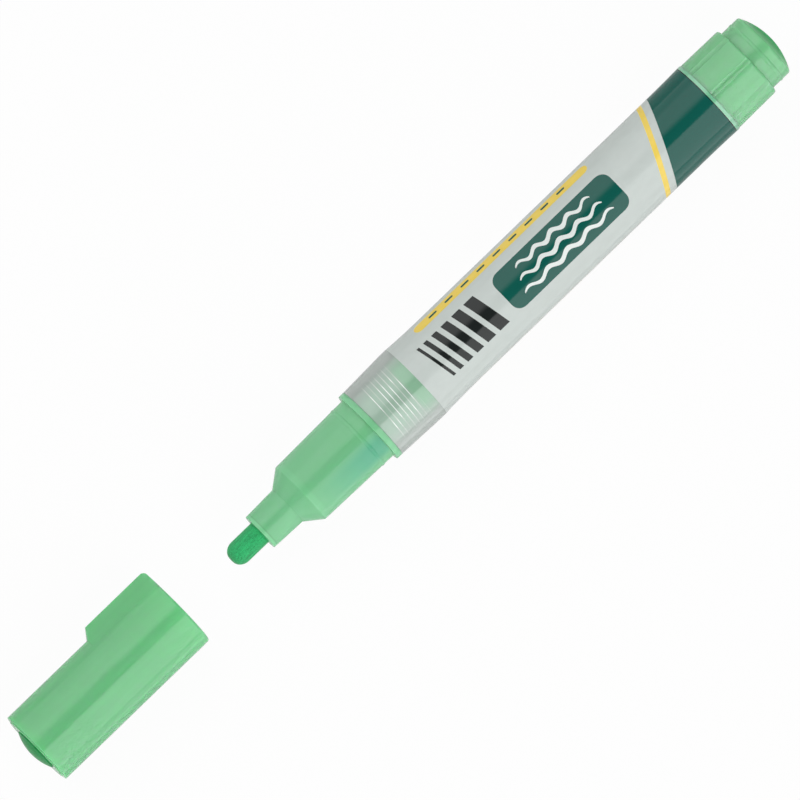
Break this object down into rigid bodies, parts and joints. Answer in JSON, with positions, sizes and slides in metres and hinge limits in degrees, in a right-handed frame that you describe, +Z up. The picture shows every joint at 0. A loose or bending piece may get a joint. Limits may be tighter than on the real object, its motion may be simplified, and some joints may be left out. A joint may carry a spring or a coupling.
{
  "type": "liquid chalk marker",
  "caption": "Chalk marker with a bullet nib, pump valve, screw-in front section, printed ink barrel, grooved rear plug and a push-on cap with an anti-roll lug, shown taken off.",
  "frame": {"origin": "on the marker's axis, at the middle of the printed sleeve, which is the middle of the grip", "axes": "+X along the axis from the nib to the rear plug, +Y to the cap's lug, +Z up; the marker lies on a surface below it"},
  "size_m": [0.1809, 0.017, 0.0154],
  "materials": {
    "nib_fibre": "pressed polyester fibre soaked with ink",
    "section_plastic": "milky translucent moulded polypropylene",
    "seal_silicone": "soft pale silicone",
    "valve_plastic": "moulded polypropylene",
    "spring_steel": "drawn stainless wire",
    "barrel_plastic": "hazy clear moulded polypropylene",
    "label_film": "printed shrink film",
    "plug_plastic": "moulded polypropylene",
    "ball_steel": "polished stainless steel",
    "cap_plastic": "moulded polypropylene",
    "liner_plastic": "moulded polyethylene"
  },
  "bodies": {
    "barrel": {"barrel_tube": "barrel_plastic", "label_sleeve": "label_film", "rear_plug": "plug_plastic"},
    "ball": {"mixing_ball": "ball_steel"},
    "seal_ring": {"section_seal": "seal_silicone"},
    "section": {"front_section": "section_plastic", "valve_body": "valve_plastic", "valve_retainer": "valve_plastic", "valve_spring": "spring_steel"},
    "nib_pump": {"nib": "nib_fibre", "valve_plunger": "valve_plastic", "valve_seal": "seal_silicone"},
    "cap": {"cap_shell": "cap_plastic", "cap_inner_seal": "liner_plastic"}
  },
  "joints": [
    {"name": "section_turn", "type": "hinge", "parent": "seal_ring", "child": "section", "pos_m": [-0.0447, 0, 0], "axis": [1, 0, 0], "range_deg": [0, 1440]},
    {"name": "section_back_off", "type": "slide", "parent": "barrel", "child": "seal_ring", "axis": [-1, 0, 0], "range_m": [0, 0.00732]},
    {"name": "nib_press", "type": "slide", "parent": "section", "child": "nib_pump", "axis": [1, 0, 0], "range_m": [0, 0.002], "stiffness_N_per_m": 500, "springref_m": -0.002, "deforming": ["valve_spring"]},
    {"name": "cap_on", "type": "slide", "parent": "section", "child": "cap", "axis": [1, 0, 0], "range_m": [0, 0.04575]},
    {"name": "ball_run", "type": "slide", "parent": "barrel", "child": "ball", "axis": [-1, 0, 0], "range_m": [0, 0.0555]}
  ],
  "couplings": [
    {"joint": "section_turn", "follows": "section_back_off", "rad_per_m": 3433.4}
  ]
}
